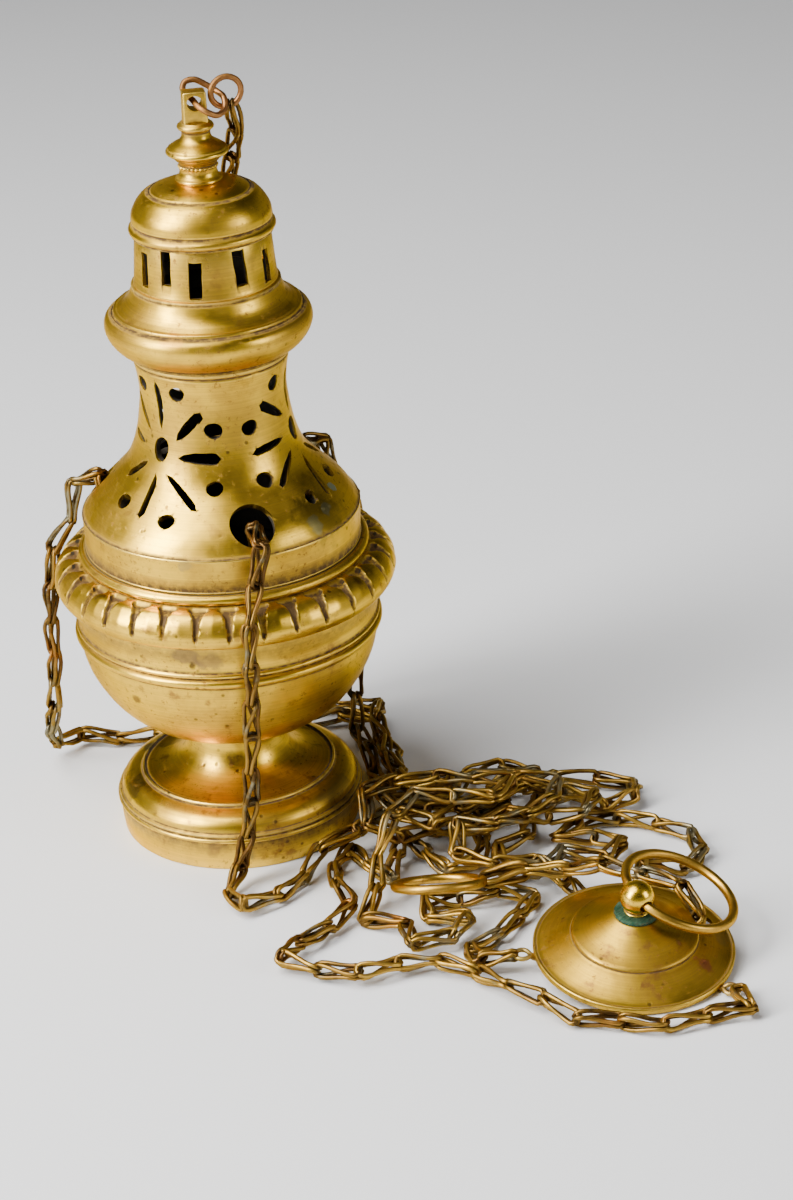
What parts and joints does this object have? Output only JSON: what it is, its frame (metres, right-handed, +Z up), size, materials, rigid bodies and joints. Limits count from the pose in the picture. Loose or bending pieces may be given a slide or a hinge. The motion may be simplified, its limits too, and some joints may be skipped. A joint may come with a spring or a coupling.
{
  "type": "thurible",
  "caption": "Footed bowl censer with a gadrooned rim, a tall pierced lid that lifts, a loose charcoal pan, suspension chains, a lid chain and a domed handle disc with a ring.",
  "frame": {"origin": "on the surface it stands on, under the middle of the box around the censer and its handle disc, with the chains left out", "axes": "+Z up along the censer's axis; -Y towards the side with the front chain; +X towards the side where the handle disc lies"},
  "size_m": [0.2108, 0.2136, 0.2466],
  "materials": {
    "brass": "satin golden brass with brown tarnish in the recesses",
    "dark_brass": "dull, darkened brass",
    "chain_brass": "dark bronze-brown brass wire with bright worn edges",
    "copper_wire": "reddish copper alloy wire, dull",
    "verdigris": "matte green corrosion over brass",
    "iron": "matte, sooty"
  },
  "bodies": {
    "censer_base": {"foot": "brass", "foot_bolt": "dark_brass", "bowl": "brass", "bowl_nut": "dark_brass", "gadrooned_rim": "brass", "chain_lug_front": "dark_brass", "chain_lug_left": "dark_brass", "chain_lug_right": "dark_brass", "lug_rivet_front": "dark_brass", "lug_rivet_left": "dark_brass", "lug_rivet_right": "dark_brass", "pull_ring": "brass", "chain_front_inner": "chain_brass", "chain_front_drop": "chain_brass", "chain_front_floor": "chain_brass", "chain_left_inner": "chain_brass", "chain_left_drop": "chain_brass", "chain_left_floor": "chain_brass", "chain_right_inner": "chain_brass", "chain_right_drop": "chain_brass", "chain_right_floor": "chain_brass", "lid_chain_top": "chain_brass", "lid_chain_drop": "chain_brass", "lid_chain_floor": "chain_brass", "lid_chain_under_disc": "chain_brass", "lid_chain_end": "chain_brass"},
    "lid": {"lid_bell": "brass", "lid_collar": "brass", "lid_drum": "brass", "lid_dome": "brass", "finial": "brass", "finial_nut": "dark_brass"},
    "fire_pan": {"fire_pan": "iron"},
    "finial_link": {"finial_ring": "copper_wire", "joining_ring": "copper_wire"},
    "handle": {"handle_disc": "brass", "handle_washer": "verdigris", "handle_ball": "brass", "handle_nut": "dark_brass", "disc_eyelet_front": "dark_brass", "disc_eyelet_left": "dark_brass", "disc_eyelet_back": "dark_brass"},
    "handle_ring": {"handle_ring": "brass"}
  },
  "joints": [
    {"name": "lid_lift", "type": "slide", "parent": "censer_base", "child": "lid", "axis": [0, 0, 1], "range_m": [0, 0.05], "deforming": ["chain_front_inner", "chain_left_inner", "chain_right_inner", "chain_front_drop", "chain_left_drop", "chain_right_drop", "lid_chain_top", "lid_chain_drop"]},
    {"name": "fire_pan_lift", "type": "slide", "parent": "censer_base", "child": "fire_pan", "axis": [0, 0, 1], "range_m": [0, 0.033]},
    {"name": "finial_ring_swing", "type": "hinge", "parent": "lid", "child": "finial_link", "pos_m": [-0.04606, 0.04267, 0.23929], "axis": [-0.1045, 0.9945, 0], "range_deg": [-4, 22], "deforming": ["lid_chain_top"]},
    {"name": "handle_lift", "type": "slide", "parent": "censer_base", "child": "handle", "axis": [0, 0, 1], "range_m": [0, 0.04], "deforming": ["chain_front_floor", "chain_left_floor", "chain_right_floor", "lid_chain_under_disc", "lid_chain_end"]},
    {"name": "handle_ring_swing", "type": "hinge", "parent": "handle", "child": "handle_ring", "pos_m": [0.06793, -0.06829, 0.02344], "axis": [0.4514, -0.8482, -0.2771], "range_deg": [0, 190]}
  ]
}
